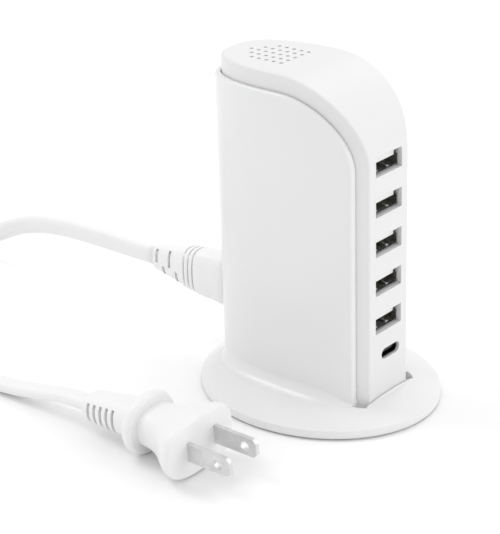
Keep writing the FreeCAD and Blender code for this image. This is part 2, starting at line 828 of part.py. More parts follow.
def add_power_parts():
    """The power board's components, from the mains side at the bottom to the outputs at the top."""
    board = size("power_board_side")
    for k, y in enumerate((3.5, 14.5), start=1):
        name = f"bulk_capacitor_{k}"
        keep(name, lying_cylinder(name, "Sizes.bulk_radius", "Sizes.bulk_length", y, 44.5))
    for k, y in enumerate((-4.5, 4, 12.5), start=1):
        name = f"output_capacitor_{k}"
        keep(name, lying_cylinder(name, "Sizes.output_radius", "Sizes.output_length", y, 94))
    keep("x_capacitor", box("x_capacitor", ("6.2", "7", "12"), at(board - 6.2, 10.5, 17)))
    edge_on = at(board - 5.2, 17.5, 56.2, Rotation(BACK, 90))
    disc = cylinder("y_capacitor", "Sizes.disc_radius", "Sizes.disc_thickness", edge_on)
    keep("y_capacitor", disc)
    keep("fuse", cylinder("fuse", "Sizes.fuse_radius", "Sizes.fuse_length", at(board - 2.2, -5.8, 35)))
    keep("bridge_rectifier", box("bridge_rectifier", ("6", "9", "3.6"), at(board - 6, 1, 54)))
    add_choke(board - 4.6, -0.5, 23)
    add_transformer(board)
    sink = box(
        "heat_sink", ("Sizes.sink_wide", "Sizes.sink_sheet", "Sizes.sink_tall"),
        at(board - size("sink_wide"), -4.6, 58),
    )
    keep("heat_sink", sink)
    flat_on_sink = at(board - 12.5, size("sink_sheet") - 4.6, 62)
    keep("power_transistor", box("power_transistor", ("10", "2.6", "14"), flat_on_sink))
    chips = [
        box("charge_chip_1", ("5", "1.2", "5"), at(-6, USB_BOARD_BACK, 56)),
        box("charge_chip_2", ("5", "1.2", "5"), at(-6, USB_BOARD_BACK, 30)),
        box("converter_chip", ("1.4", "4", "5"), at(board - 1.4, 14, 84)),
    ]
    keep("controller_chips", group("controller_chips", chips))
    side = board + size("board_thickness") + size("guard_gap")
    guard = box(
        "guard_blank", ("Sizes.guard_sheet", "Sizes.guard_wide", "Sizes.guard_tall"),
        at(side, -8, 17),
    )
    hole_radius = str(SIDE_POST_RADIUS + 0.3)
    holes = [
        cylinder(f"guard_hole_{k}", hole_radius, "3", at(side - 1, y, z, Rotation(BACK, 90)))
        for k, (y, z) in enumerate(POWER_BOARD_SCREWS)
    ]
    keep("insulating_sheet", cut("insulating_sheet", guard, fuse("guard_holes", holes)))


def add_choke(x, y, z):
    """A ring-shaped core standing on its edge, with one winding on each half."""
    ring = primitive(
        "Torus", "choke_ring", {"Radius1": "Sizes.choke_radius", "Radius2": "Sizes.choke_core"},
        at(x, y, z, Rotation(BACK, 90)),
    )
    keep("choke_core", ring)
    wraps = []
    for side in (-1, 1):
        for k in range(CHOKE_WRAPS):
            angle = side * (35 + 28 * k)
            out = Rotation(RIGHT, angle).multVec(BACK) * size("choke_radius")
            wraps.append(
                primitive(
                    "Torus", f"wrap_{side}_{k}",
                    {"Radius1": "Sizes.choke_wrap", "Radius2": "Sizes.choke_wire"},
                    at(x, y + out.y, z + out.z, Rotation(RIGHT, angle)),
                )
            )
    keep("choke_winding", group("choke_winding", wraps))


def block_about(middle, width, depth, height, level=0):
    """A box whose middle is a given height above a point."""
    half = Vector(width / 2, depth / 2, height / 2)
    return Part.makeBox(width, depth, height, middle - half + UP * level)


def add_transformer(board):
    """A ferrite core of three legs, the bobbin on its middle leg and the taped winding."""
    wide, tall, deep = (size("transformer_" + name) for name in ("wide", "tall", "deep"))
    window_wide, window_tall = size("window_wide"), size("window_tall")
    x, y, z = board - 12.5, 11.5, 70
    outer = box(
        "ferrite_block",
        ("Sizes.transformer_deep", "Sizes.transformer_wide", "Sizes.transformer_tall"),
        at(x, y - wide / 2, z - tall / 2),
    )
    leg_wide = 6
    windows = [
        box(
            f"ferrite_window_{k}",
            ("Sizes.transformer_deep + 2", "Sizes.window_wide", "Sizes.window_tall"),
            at(x - 1, low, z - window_tall / 2),
        )
        for k, low in enumerate((y - leg_wide / 2 - window_wide, y + leg_wide / 2))
    ]
    keep("transformer_core", cut("transformer_core", outer, fuse("ferrite_windows", windows)))
    middle = Vector(x + deep / 2, y, z)
    room, wall, flange = 0.05, 0.8, 1
    tube_deep, tube_wide = (n + 2 * (room + wall) for n in (deep, leg_wide))
    leg = block_about(middle, deep + 2 * room, leg_wide + 2 * room, 2 * tall)
    reach = (window_tall - flange) / 2
    tube_wall = block_about(middle, tube_deep, tube_wide, window_tall)
    flanges = [block_about(middle, 16, 15.6, flange, level) for level in (-reach, reach)]
    foot = Part.makeBox(
        board - middle.x - 8, 12, flange, middle + Vector(8, -6, -window_tall / 2)
    )
    shape_part("transformer_bobbin", tube_wall.fuse(flanges + [foot]).cut(leg))
    coil_tall = window_tall - 2 * flange - 2 * room
    coil = block_about(middle, 15, 14.8, coil_tall)
    coil = coil.makeFillet(1.5, [e for e in coil.Edges if abs(e.Length - coil_tall) < 0.01])
    inside = block_about(middle, tube_deep + 2 * room, tube_wide + 2 * room, window_tall)
    shape_part("transformer_winding", coil.cut(inside))


# ---------------------------------------------------------------- routes of round tubes


def tube(points, radius, label):
    """A round tube on straight runs joined by tangent arcs; prints its radii and checks its volume."""
    corners = [Vector(*p) for p in points]
    edges = []
    last = corners[0]
    radii = []
    for before, corner, after in zip(corners, corners[1:], corners[2:]):
        inward, outward = (corner - before), (after - corner)
        shorter = min(inward.Length, outward.Length)
        inward.normalize()
        outward.normalize()
        half_turn = math.acos(max(-1, min(1, inward.dot(outward)))) / 2
        reach = 0.45 * shorter
        radii.append(reach / math.tan(half_turn))
        enter, leave = corner - inward * reach, corner + outward * reach
        bisector = (outward - inward).normalize()
        centre = corner + bisector * (radii[-1] / math.cos(half_turn))
        middle = centre - bisector * radii[-1]
        edges.append(Part.LineSegment(last, enter).toShape())
        edges.append(Part.Arc(enter, middle, leave).toShape())
        last = leave
    edges.append(Part.LineSegment(last, corners[-1]).toShape())
    path = Part.Wire(edges)
    start = (corners[1] - corners[0]).normalize()
    ring = Part.Wire([Part.Circle(corners[0], start, radius).toShape()])
    solid = path.makePipeShell([ring], True, True)
    expected = math.pi * radius**2 * path.Length
    error = solid.Volume / expected - 1
    print(f"{label}: {path.Length:.0f} mm, radii {[round(r) for r in radii]}, volume {error:+.2%}")
    if abs(error) > 0.02:
        raise RuntimeError(f"{label} isn't as big as its section times its length")
    return solid


# ---------------------------------------------------------------- inlet and lead

# Places along Y on the connector, and along the plug's own axis from its face.
CONNECTOR_SHOULDER = size("inlet_back") + 0.7
RINGS_START = CONNECTOR_SHOULDER + 14.6
RING_COUNT = 3
RELIEF_START = RINGS_START + RING_COUNT * size("ring_pitch")
RELIEF_END = 72.6
COLLAR_START = 20.6
COLLAR_END = 25
PLUG_BACK = 40.8
# How far the inlet's pins stand out inside the tower.
PIN_TAIL = 4
# How square a cross-section's corners are: 2 is an ellipse.
BODY_POWER = 3.2
RINGS_POWER = 3.0
COLLAR_POWER = 2.2
RELIEF_POWER = 2.6
# The core that the rings and the relief's slots leave, as a share of the width and height there.
RING_CORE = 0.84
RELIEF_CORE = 0.5
RELIEF_CORE_TALL = 0.6
# What the relief's slots leave standing above and below the middle, as shares of its height.
CONNECTOR_BRIDGES = ([(-0.9, -0.4), (-0.12, 0.9)], [(-0.9, -0.08), (0.4, 0.9)])
PLUG_BRIDGES = ([(0.34, 0.9), (-0.9, -0.4)],)


def add_inlet():
    """The two-pin mains inlet in the back, its pins, and the two wires to the board."""
    height, back = size("inlet_height"), size("inlet_back")
    wide, tall, deep = size("inlet_wide"), size("inlet_tall"), size("inlet_deep")
    outer = Part.makeBox(wide, deep, tall, Vector(-wide / 2, back - deep, height - tall / 2))
    outer = outer.makeFillet(2, [e for e in outer.Edges if abs(e.Length - deep) < 0.01])
    gap = size("nose_gap")
    cavity = slot_block(
        size("nose_wide") + 2 * gap, size("nose_tall") + 2 * gap, 20,
        0, back - size("nose_deep") - 1, height,
    )
    housing = outer.cut(cavity)
    pins = []
    for side in (-1, 1):
        start = Vector(0, back - deep - PIN_TAIL, height + side * size("pin_spread"))
        pin = Part.makeCylinder(size("pin_radius"), deep + PIN_TAIL - 3, start, BACK)
        tip = pin.Edges[0] if pin.Edges[0].BoundBox.YMin > back - 5 else pin.Edges[2]
        pins.append(pin.makeChamfer(0.4, [tip]))
    housing = housing.cut(pins)
    shape_part("inlet_housing", housing)
    shape_part("inlet_pins", Part.makeCompound(pins))
    board = size("power_board_side")
    tail = back - deep - PIN_TAIL
    routes = {}
    for label, side, run in (("inlet_wire_live", 1, 5), ("inlet_wire_neutral", -1, 7)):
        level = height + side * size("pin_spread")
        routes[label] = [(0, tail, level), (0, tail - run, level), (board, tail - run, level)]
    for label, points in routes.items():
        shape_part(label, tube(points, size("wire_radius"), label))


def rounded_section(y, z, width, height, power):
    """A closed rounded rectangle across the Y axis, about the point (0, y, z)."""
    points = []
    count = OUTLINE_POINTS // 2
    for k in range(count):
        turn = 2 * math.pi * (k + 0.5) / count
        across, up = math.cos(turn), math.sin(turn)
        x = width / 2 * math.copysign(abs(across) ** (2 / power), across)
        rise = height / 2 * math.copysign(abs(up) ** (2 / power), up)
        points.append(Vector(x, y, z + rise))
    return closed_wire(points)


def lofted(stations, power, smooth=True):
    """A solid through rounded sections; each station is (y, z, width, height)."""
    wires = [rounded_section(*station, power) for station in stations]
    return Part.makeLoft(wires, True, not smooth)


def slab(y, thickness, low=-SPAN / 2, high=SPAN / 2, width=SPAN):
    """A sheet across the Y axis, from y to y + thickness."""
    return Part.makeBox(width, thickness, high - low, Vector(-width / 2, y, low))


def slotted_relief(base, tip, slots, bridges):
    """A tapered relief between two stations with slots across it. The slots take turns with the
    lists of bridges, which are what a slot leaves standing beside the core round the cord."""
    cutters = []
    wide_enough = size("relief_slot") + 2
    for number, y in enumerate(slots):
        share = (y - base[0]) / (tip[0] - base[0])
        z, width, height = (a + (b - a) * share for a, b in zip(base[1:], tip[1:]))
        half_core = RELIEF_CORE_TALL * height / 2
        kept = [slab(y - 1, wide_enough, z - half_core, z + half_core, RELIEF_CORE * width)]
        for low, high in bridges[number % len(bridges)]:
            kept.append(slab(y - 1, wide_enough, z + low * height, z + high * height))
        cutters.append(slab(y, size("relief_slot")).cut(kept))
    return lofted([base, tip], RELIEF_POWER, False).cut(cutters)


def add_connector():
    """The cord's connector: its nose is in the inlet, and its ribbed relief holds the cord."""
    height = size("inlet_height")
    nose_start = size("inlet_back") - size("nose_deep")
    wide, tall = size("connector_wide"), size("connector_tall")
    rings_wide, rings_tall = size("connector_neck_wide"), size("connector_neck_tall")
    relief_wide, relief_tall = size("relief_wide"), size("relief_tall")
    nose = slot_block(
        size("nose_wide"), size("nose_tall"), CONNECTOR_SHOULDER - nose_start + 1, 0, nose_start, 0
    )
    body = lofted(
        [
            (CONNECTOR_SHOULDER, 0, wide - 0.8, tall - 0.9),
            (CONNECTOR_SHOULDER + 1, 0, wide, tall),
            (CONNECTOR_SHOULDER + 6, 0, wide, tall - 0.1),
            (CONNECTOR_SHOULDER + 11, 0, wide - 0.3, tall - 0.8),
            (RINGS_START, 0, rings_wide, rings_tall),
        ],
        BODY_POWER,
    )
    rings = lofted(
        [
            (RINGS_START, 0, rings_wide - 0.1, rings_tall - 0.2),
            (RELIEF_START, 0, relief_wide + 0.1, relief_tall + 0.2),
        ],
        RINGS_POWER, False,
    )
    half_core = RING_CORE * relief_tall / 2
    core = slab(
        RINGS_START, RELIEF_START - RINGS_START, -half_core, half_core, RING_CORE * relief_wide
    )
    pitch = size("ring_pitch")
    grooves = [slab(RINGS_START + 0.5 + pitch * k, 0.7).cut(core) for k in range(RING_COUNT)]
    body = body.fuse([nose, rings.cut(grooves)])
    holes = [
        Part.makeCylinder(
            size("pin_radius") + 0.5, 14, Vector(0, nose_start, side * size("pin_spread")), BACK
        )
        for side in (-1, 1)
    ]
    shape_part("connector_body", body.cut(holes), at(0, 0, height))
    sockets = []
    for side in (-1, 1):
        base = Vector(0, nose_start + 1.2, side * size("pin_spread"))
        outer = Part.makeCylinder(size("pin_radius") + 0.45, 12, base, BACK)
        inner = Part.makeCylinder(size("pin_radius") + 0.12, 10.6, base, BACK)
        sockets.append(outer.cut(inner))
    shape_part("connector_contacts", Part.makeCompound(sockets), at(0, 0, height))
    relief = slotted_relief(
        (RELIEF_START, 0, relief_wide, relief_tall),
        (RELIEF_END, 0, size("relief_tip_wide"), size("relief_tip_tall")),
        [RELIEF_START + 2.3 + size("relief_slot_pitch") * k for k in range(4)],
        CONNECTOR_BRIDGES,
    )
    shape_part("connector_relief", relief, at(0, 0, height))


CORD_RADIUS = size("cord_width") / 2
COIL_CENTRE = (-size("coil_left"), size("coil_back"))
COIL_LOW = size("tie_thickness")
# The flat cord is wound on its edge in two layers, and both its ends leave the outermost turns.
COIL_OUTER = size("coil_radius") + size("coil_half_band") - size("cord_thickness") / 2
LOWER_TURNS = COIL_LOW + CORD_RADIUS
UPPER_TURNS = COIL_LOW + size("coil_height") - CORD_RADIUS
LEAD_ROUTE = [
    (0, RELIEF_END, size("inlet_height")),
    (0, 87, size("inlet_height")),
    (0.3, 103, 29.3),
    (0.8, 119, 28.8),
    (1.8, 135, 26.4),
    (3.4, 149.5, 21.6),
    (5.0, 163, 14.7),
    (6.3, 175.5, 8.9),
    (7.1, 187, 5.2),
    (COIL_CENTRE[0] + COIL_OUTER, COIL_CENTRE[1], LOWER_TURNS),
]
TAIL_ROUTE = [
    (COIL_CENTRE[0] - COIL_OUTER, COIL_CENTRE[1], UPPER_TURNS),
    (-75.3, 184, 11.0),
    (-74.9, 168, 9.0),
    (-73.9, 150.5, 6.2),
    (-72.3, 133, 4.3),
    (-70.5, 116, 3.5),
    (-69.1, 99, 3.5),
    (-68.2, 83, 3.8),
    (-67.8, 69, 5.1),
    (-67.75, 57.5, 7.3),
    (-67.77, 48.4, 8.4),
    (-67.77, PLUG_BACK, 8.4),
]


def add_cord():
    """The cord's two free stretches, the coil that holds the rest of its length, and the tie."""
    routes = {"cord_lead": LEAD_ROUTE, "cord_tail": TAIL_ROUTE}
    for label, route in routes.items():
        shape_part(label, tube(route, CORD_RADIUS, label))
    inner, outer = (size("coil_radius") + side * size("coil_half_band") for side in (-1, 1))
    centre = Vector(*COIL_CENTRE, COIL_LOW)
    ring = Part.makeCylinder(outer, size("coil_height"), centre, UP)
    ring = ring.cut(Part.makeCylinder(inner, size("coil_height"), centre, UP))
    room = [tube(route, CORD_RADIUS + 0.2, label + " room") for label, route in routes.items()]
    coil = max(ring.cut(room).Solids, key=lambda solid: solid.Volume)
    shape_part("cord_coil", coil)
    slack, band, thick = 0.3, 7, size("tie_thickness")
    low_y, high_y, top = inner - slack, outer + slack, COIL_LOW + size("coil_height") + slack
    loop = Part.makeBox(
        band, high_y - low_y + 2 * thick, top + thick, Vector(-band / 2, low_y - thick, 0)
    )
    hollow = Part.makeBox(band, high_y - low_y, top - thick, Vector(-band / 2, low_y, thick))
    shape_part("cord_tie", loop.cut(hollow), at(COIL_CENTRE[0], COIL_CENTRE[1], 0))


def add_plug():
    """The mains plug, lying on the ground with its two flat blades side by side."""
    place = at(
        -size("plug_left"), -size("plug_face"), size("plug_height"),
        Rotation(BACK, -size("plug_roll")),
    )
    wide, tall = size("plug_wide"), size("plug_tall")
    grip = lofted(
        [
            (0, 0, wide - 1.4, tall - 1.4), (0.8, 0, wide, tall), (3.4, 0, wide - 0.2, tall - 0.2),
            (7.2, 0, wide - 4.6, tall - 2.2), (11, 0, wide - 10, tall - 4),
            (15, 0, wide - 13.6, tall - 5.6), (COLLAR_START, 0, wide - 15, tall - 6.6),
        ],
        RINGS_POWER,
    )
    collar_wide, collar_tall = size("collar_wide"), size("collar_tall")
    collar = lofted(
        [
            (COLLAR_START, -0.2, collar_wide - 1.8, collar_tall - 1.8),
            (COLLAR_START + 0.9, -0.2, collar_wide, collar_tall),
            (COLLAR_START + 3.2, -0.2, collar_wide - 0.2, collar_tall - 0.2),
            (COLLAR_END, -0.2, collar_wide - 2.6, collar_tall - 2.6),
        ],
        COLLAR_POWER,
    )
    thick, width = size("blade_thick"), size("blade_width")
    slots = [
        Part.makeBox(
            thick, size("blade_root"), width,
            Vector(side * size("blade_spread") - thick / 2, 0, -width / 2),
        )
        for side in (-1, 1)
    ]
    shape_part("plug_body", grip.fuse(collar).cut(slots), place)
    relief = slotted_relief(
        (COLLAR_END, 0, size("plug_relief_wide"), size("plug_relief_tall")),
        (
            PLUG_BACK + size("plug_face"), -size("relief_sag"),
            size("plug_tip_wide"), size("plug_tip_tall"),
        ),
        [COLLAR_END + 6.9 + size("plug_slot_pitch") * k for k in range(5)],
        PLUG_BRIDGES,
    )
    shape_part("plug_relief", relief, place)
    for side, name in ((-1, "left"), (1, "right")):
        add_blade(f"plug_blade_{name}", side, place)


def add_blade(label, side, place):
    """One flat blade with its round hole and chamfered tip, standing out along -Y."""
    body = new_body(label, place.multiply(at(side * size("blade_spread"), 0, 0)))
    length = size("blade_length")
    outline = new_sketch(body, label + "_outline", "YZ_Plane")
    middle = (size("blade_root") - length) / 2
    add_rectangle(outline, "Sizes.blade_length + Sizes.blade_root", "Sizes.blade_width", (middle, 0))
    pad(body, label + "_sheet", outline, "Sizes.blade_thick").Midplane = True
    hole = new_sketch(body, label + "_hole", "YZ_Plane")
    add_circle(hole, "Sizes.blade_hole_radius", (-size("blade_hole_out"), 0))
    pocket(body, label + "_drill", hole)
    drilled = body.Tip
    tips = [
        f"Edge{k}" for k, edge in enumerate(drilled.Shape.Edges, start=1)
        if edge.BoundBox.YMax < 0.01 - length and edge.BoundBox.XLength > 1
    ]
    chamfer = body.newObject("PartDesign::Chamfer", label + "_tip")
    chamfer.Base = (drilled, tips)
    chamfer.setExpression("Size", "Sizes.blade_chamfer")
    doc.recompute()


# ---------------------------------------------------------------- the whole object


def write_parts():
    doc.recompute()
    for item in doc.Objects:
        if "Invalid" in item.State or "Error" in item.State:
            raise RuntimeError(f"{item.Label} is {item.State}")
    for label, item in parts.items():
        if item.Shape.isNull() or not item.Shape.isValid() or not item.Shape.Solids:
            raise RuntimeError(f"{label} has no valid solid")
    os.makedirs("parts", exist_ok=True)
    for label, item in parts.items():
        item.Shape.exportStep(f"parts/{label}.step")
    print(f"{len(parts)} sub-parts written")


shape_part("front_housing", make_front_housing())
shape_part("outer_shell", make_outer_shell())
add_bottom_cover()
add_pad()
add_screws()
for port, port_height in enumerate(PORT_HEIGHTS, start=1):
    add_usb_a(port, port_height)
add_usb_c()
add_boards()
add_power_parts()
add_inlet()
add_connector()
add_cord()
add_plug()
write_parts()
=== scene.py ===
"""Looks of a desktop charging tower: a white housing with six sockets, its sleeve and foot, and a
mains lead whose spare length is coiled. Metres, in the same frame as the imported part."""

import json
import math

import bmesh
import bpy
from mathutils import Euler, Matrix, Vector


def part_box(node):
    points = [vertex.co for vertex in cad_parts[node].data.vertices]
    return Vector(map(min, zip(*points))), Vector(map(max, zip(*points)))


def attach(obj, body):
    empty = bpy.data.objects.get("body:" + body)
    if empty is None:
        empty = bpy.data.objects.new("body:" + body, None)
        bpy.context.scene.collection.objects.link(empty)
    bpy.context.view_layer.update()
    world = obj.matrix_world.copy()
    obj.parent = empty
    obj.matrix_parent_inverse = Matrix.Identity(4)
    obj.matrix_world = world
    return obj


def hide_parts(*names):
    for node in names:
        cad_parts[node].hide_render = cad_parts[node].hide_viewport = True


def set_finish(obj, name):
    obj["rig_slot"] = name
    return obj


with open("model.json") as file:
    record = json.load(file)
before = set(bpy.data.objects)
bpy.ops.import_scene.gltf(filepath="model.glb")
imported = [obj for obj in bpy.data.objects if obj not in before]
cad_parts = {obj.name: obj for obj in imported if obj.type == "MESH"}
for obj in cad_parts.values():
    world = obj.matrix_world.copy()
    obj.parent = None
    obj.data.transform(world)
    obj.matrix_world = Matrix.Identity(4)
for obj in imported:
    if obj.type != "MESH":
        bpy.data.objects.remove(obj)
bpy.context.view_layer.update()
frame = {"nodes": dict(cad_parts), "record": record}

MM = 0.001
UP = Vector((0, 0, 1))

# ---------------------------------------------------------------- camera

# Metres and degrees, with the lens and the sensor in millimetres.
VIEW_PLACE = Vector((-0.4229, -0.3289, 0.2796))
VIEW_TURN = 49.71
VIEW_DIP = 23.70
VIEW_ROLL = -1.68
VIEW_LENS = 119.1
SENSOR = 36


def add_camera():
    """Looks down at the tower's port face and its left side."""
    data = bpy.data.cameras.new("view")
    data.sensor_width = SENSOR
    data.lens = VIEW_LENS
    camera = bpy.data.objects.new("view", data)
    aim = Euler((math.radians(90 - VIEW_DIP), 0, math.radians(-VIEW_TURN))).to_matrix()
    roll = Matrix.Rotation(math.radians(VIEW_ROLL), 3, "Z")
    camera.matrix_world = Matrix.Translation(VIEW_PLACE) @ (aim @ roll).to_4x4()
    bpy.context.scene.collection.objects.link(camera)
    bpy.context.scene.camera = camera


# ---------------------------------------------------------------- swept pieces

# The flat cord's section: how square it is (1 is an ellipse), and how deep and wide the groove
# between its cores is, as shares of half its thickness and half its width.
OVAL_POWER = 0.8
GROOVE_SHARE = 0.1
GROOVE_WIDTH = 0.16


def new_object(name, mesh):
    piece = bpy.data.objects.new(name, mesh)
    bpy.context.scene.collection.objects.link(piece)
    return piece


def mesh_from(bm, name):
    bmesh.ops.recalc_face_normals(bm, faces=bm.faces)
    mesh = bpy.data.meshes.new(name)
    bm.to_mesh(mesh)
    bm.free()
    for face in mesh.polygons:
        face.use_smooth = True
    return mesh


def twin_profile(wide, thick, count):
    """The section of a flat two-core cord: an oval with a shallow groove between its cores."""
    points = []
    for k in range(count):
        turn = 2 * math.pi * (k + 0.5) / count
        a, b = math.cos(turn), math.sin(turn)
        across, up = (math.copysign(abs(n) ** OVAL_POWER, n) for n in (a, b))
        groove = 1 - GROOVE_SHARE * math.exp(-((across / GROOVE_WIDTH) ** 2))
        points.append((wide / 2 * across, thick / 2 * groove * up))
    return points


def ease(share):
    """A smooth step from 0 to 1."""
    share = min(1, max(0, share))
    return share * share * (3 - 2 * share)


def join_rings(bm, rings):
    """Joins the rings of a section into a tube, with a cap at each end."""
    count = len(rings[0])
    for near, far in zip(rings, rings[1:]):
        for k in range(count):
            bm.faces.new((near[k], near[(k + 1) % count], far[(k + 1) % count], far[k]))
    bm.faces.new(rings[0])
    bm.faces.new(rings[-1])


def sweep(name, path, sides, profile):
    """Carries a flat profile along a path; sides are the directions of the profile's width."""
    bm = bmesh.new()
    rings = []
    last = len(path) - 1
    for k, (point, side) in enumerate(zip(path, sides)):
        ahead = path[min(k + 1, last)] - path[max(k - 1, 0)]
        ahead.normalize()
        wide = (side - ahead * side.dot(ahead)).normalized()
        thick = ahead.cross(wide)
        rings.append([bm.verts.new(point + wide * a + thick * b) for a, b in profile])
    join_rings(bm, rings)
    return new_object(name, mesh_from(bm, name))


# ---------------------------------------------------------------- the mains lead

# Millimetres, as in the part's source. Only the cord's whole length is in metres.
CORD_WIDTH = 7.0
CORD_THICKNESS = 4.4
COIL_CENTRE = Vector((-34, 199, 0))
COIL_OUTER = 41.4
COIL_TURNS_PER_LAYER = 2.75
COIL_PITCH = 4.6
COIL_LOWER = 4.3
COIL_UPPER = 11.5
POINTS_PER_TURN = 16
# How far the wound turns wander from a perfect spiral, and the turns over which they climb from
# the lower layer to the upper one.
COIL_WANDER = 0.3
COIL_CLIMB = 0.5
PROFILE_POINTS = 36
LEAD_ROUTE = [
    (0, 72.6, 29.4), (0, 87, 29.4), (0.3, 103, 29.3), (0.8, 119, 28.8), (1.8, 135, 26.4),
    (3.4, 149.5, 21.6), (5.0, 163, 14.7), (6.3, 175.5, 8.9), (7.1, 187, 5.2),
]
TAIL_ROUTE = [
    (-75.3, 184, 11.0), (-74.9, 168, 8.8), (-73.9, 150.5, 5.6), (-72.3, 133, 3.2),
    (-70.5, 116, 2.25), (-69.1, 99, 2.25), (-68.2, 83, 2.7), (-67.8, 69, 4.6),
    (-67.75, 57.5, 7.2), (-67.77, 48.4, 8.4), (-67.77, 40.8, 8.4),
]
# The flat cord stands on its edge up to the first of these places along Y, and lies flat after
# the second.
TWIST_FROM, TWIST_TO = 190, 126


def coil_points():
    """A spiral inwards on the ground and back outwards on top of itself."""
    step = 2 * math.pi / POINTS_PER_TURN
    # A quadratic spline runs inside its control points by this share.
    swell = 1 / math.cos(step / 2)
    layer = COIL_TURNS_PER_LAYER
    points = []
    for k in range(int(2 * layer * POINTS_PER_TURN) + 1):
        turns = k / POINTS_PER_TURN
        inward = layer - abs(turns - layer)
        climb = ease((turns - layer) / COIL_CLIMB + 0.5)
        height = COIL_LOWER + (COIL_UPPER - COIL_LOWER) * climb
        # The first and the last quarter of a turn settle into the spiral.
        free = min(1, 4 * inward)
        wander = COIL_WANDER * free * math.sin(5.3 * turns) * math.cos(2.1 * turns + 1)
        radius = (COIL_OUTER - COIL_PITCH * inward + wander) * swell
        angle = step * k
        points.append(
            COIL_CENTRE + Vector((radius * math.cos(angle), radius * math.sin(angle), height))
        )
    return points


def route_line(points):
    """The smooth line of a route: its points are the control points of one NURBS spline."""
    data = bpy.data.curves.new("route", "CURVE")
    data.dimensions = "3D"
    spline = data.splines.new("NURBS")
    spline.points.add(len(points) - 1)
    for control, point in zip(spline.points, points):
        control.co = (*point, 1)
    spline.order_u = 3
    spline.use_endpoint_u = True
    spline.resolution_u = 6
    holder = bpy.data.objects.new("route", data)
    mesh = bpy.data.meshes.new_from_object(holder)
    line = [vertex.co.copy() for vertex in mesh.vertices]
    bpy.data.objects.remove(holder)
    bpy.data.meshes.remove(mesh)
    bpy.data.curves.remove(data)
    return line


def cord_sides(path):
    """Upright width along the lead and the coil, turning to a level width along the tail."""
    coil_middle = COIL_CENTRE.x * MM
    sides = []
    for k, point in enumerate(path):
        ahead = path[min(k + 1, len(path) - 1)] - path[max(k - 1, 0)]
        level = ahead.cross(UP).normalized()
        share = (TWIST_FROM - point.y / MM) / (TWIST_FROM - TWIST_TO)
        on_tail = point.x < coil_middle and k > len(path) // 2
        turn = math.pi / 2 * ease(share) if on_tail else 0
        sides.append(UP * math.cos(turn) + level * math.sin(turn))
    return sides


def add_cord():
    """The whole lead between its two reliefs, as one tube with an oval section."""
    points = [Vector(p) for p in LEAD_ROUTE] + coil_points() + [Vector(p) for p in TAIL_ROUTE]
    path = route_line([p * MM for p in points])
    profile = twin_profile(CORD_WIDTH * MM, CORD_THICKNESS * MM, PROFILE_POINTS)
    cord = sweep("mains_cord", path, cord_sides(path), profile)
    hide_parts("cord_lead", "cord_coil", "cord_tail")
    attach(cord, "power_cord")
    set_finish(cord, "cord_white")
    return cord


# ---------------------------------------------------------------- small pieces

# Millimetres and degrees.
TIE_THICKNESS = 0.8
# The strap starts and ends on top. Its end climbs over its start by the lap, over some degrees.
TIE_START, TIE_SWEEP = 100, 415
TIE_LAP = 0.95
TIE_LAP_FROM, TIE_LAP_OVER = 400, 60
TIE_CORNER_POWER = 0.2
TIE_EDGE = 0.25
TIE_STEPS = 140
PORTS = range(1, 6)
CAN_SHEET = 0.3
SPRING_SIDE = 3.0
SPRING_WIDTH = 1.7
SPRING_THICKNESS = 0.2
SPRING_START = 1.1
SPRING_LENGTH = 6.0
SPRING_RISE = 0.75
SPRING_TAPER = 0.25
SPRING_BEVEL = 0.93
SPRING_CLEARANCE = 0.03
SPRING_STEPS = 12


def add_tie():
    """A strap once round the coil, with its end laid over its start on top."""
    low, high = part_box("cord_tie")
    middle = (low + high) / 2
    half_y, half_z = ((high - low) / 2 - Vector((0, 1, 1)) * TIE_THICKNESS / 2 * MM).yz
    path = []
    for k in range(TIE_STEPS + 1):
        degrees = TIE_START + TIE_SWEEP * k / TIE_STEPS
        lift = TIE_LAP * MM * ease((degrees - TIE_LAP_FROM) / TIE_LAP_OVER)
        a, b = math.cos(math.radians(degrees)), math.sin(math.radians(degrees))
        y = (half_y + lift) * math.copysign(abs(a) ** TIE_CORNER_POWER, a)
        z = (half_z + lift) * math.copysign(abs(b) ** TIE_CORNER_POWER, b)
        path.append(middle + Vector((0, y, z)))
    wide, thick = (high.x - low.x) / 2, TIE_THICKNESS / 2 * MM
    edge = TIE_EDGE * MM
    profile = [
        (wide, thick - edge), (wide - edge, thick), (edge - wide, thick), (-wide, thick - edge),
        (-wide, edge - thick), (edge - wide, -thick), (wide - edge, -thick), (wide, edge - thick),
    ]
    tie = sweep("coil_strap", path, [Vector((1, 0, 0))] * len(path), profile)
    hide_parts("cord_tie")
    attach(tie, "power_cord")
    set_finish(tie, "tie_black")
    return tie


def spring_rows(bm, middle, front, floor):
    """The cross-sections of one leaf spring, an arch along Y that stands on a socket's floor."""
    rows = []
    bevel = SPRING_BEVEL
    for k in range(SPRING_STEPS + 1):
        share = k / SPRING_STEPS
        rise = SPRING_RISE * math.sin(math.pi * share) ** 1.5
        y = front + (SPRING_START + SPRING_LENGTH * share) * MM
        z = floor + (CAN_SHEET + SPRING_CLEARANCE + rise) * MM
        half = SPRING_WIDTH / 2 * (1 - SPRING_TAPER * share) * MM
        rows.append(
            [
                bm.verts.new((middle + a * half, y, z + b * SPRING_THICKNESS * MM))
                for a, b in ((-1, 0), (1, 0), (bevel, 1), (-bevel, 1))
            ]
        )
    return rows


def add_springs():
    """The leaf springs on the floor of each USB-A shell, which press on the plug."""
    bm = bmesh.new()
    for port in PORTS:
        low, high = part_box(f"usb_a_can_{port}")
        for side in (-1, 1):
            middle = (low.x + high.x) / 2 + side * SPRING_SIDE * MM
            join_rings(bm, spring_rows(bm, middle, low.y, low.z))
    springs = new_object("socket_springs", mesh_from(bm, "socket_springs"))
    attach(springs, "charger")
    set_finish(springs, "socket_steel")
    return springs


# ---------------------------------------------------------------- materials


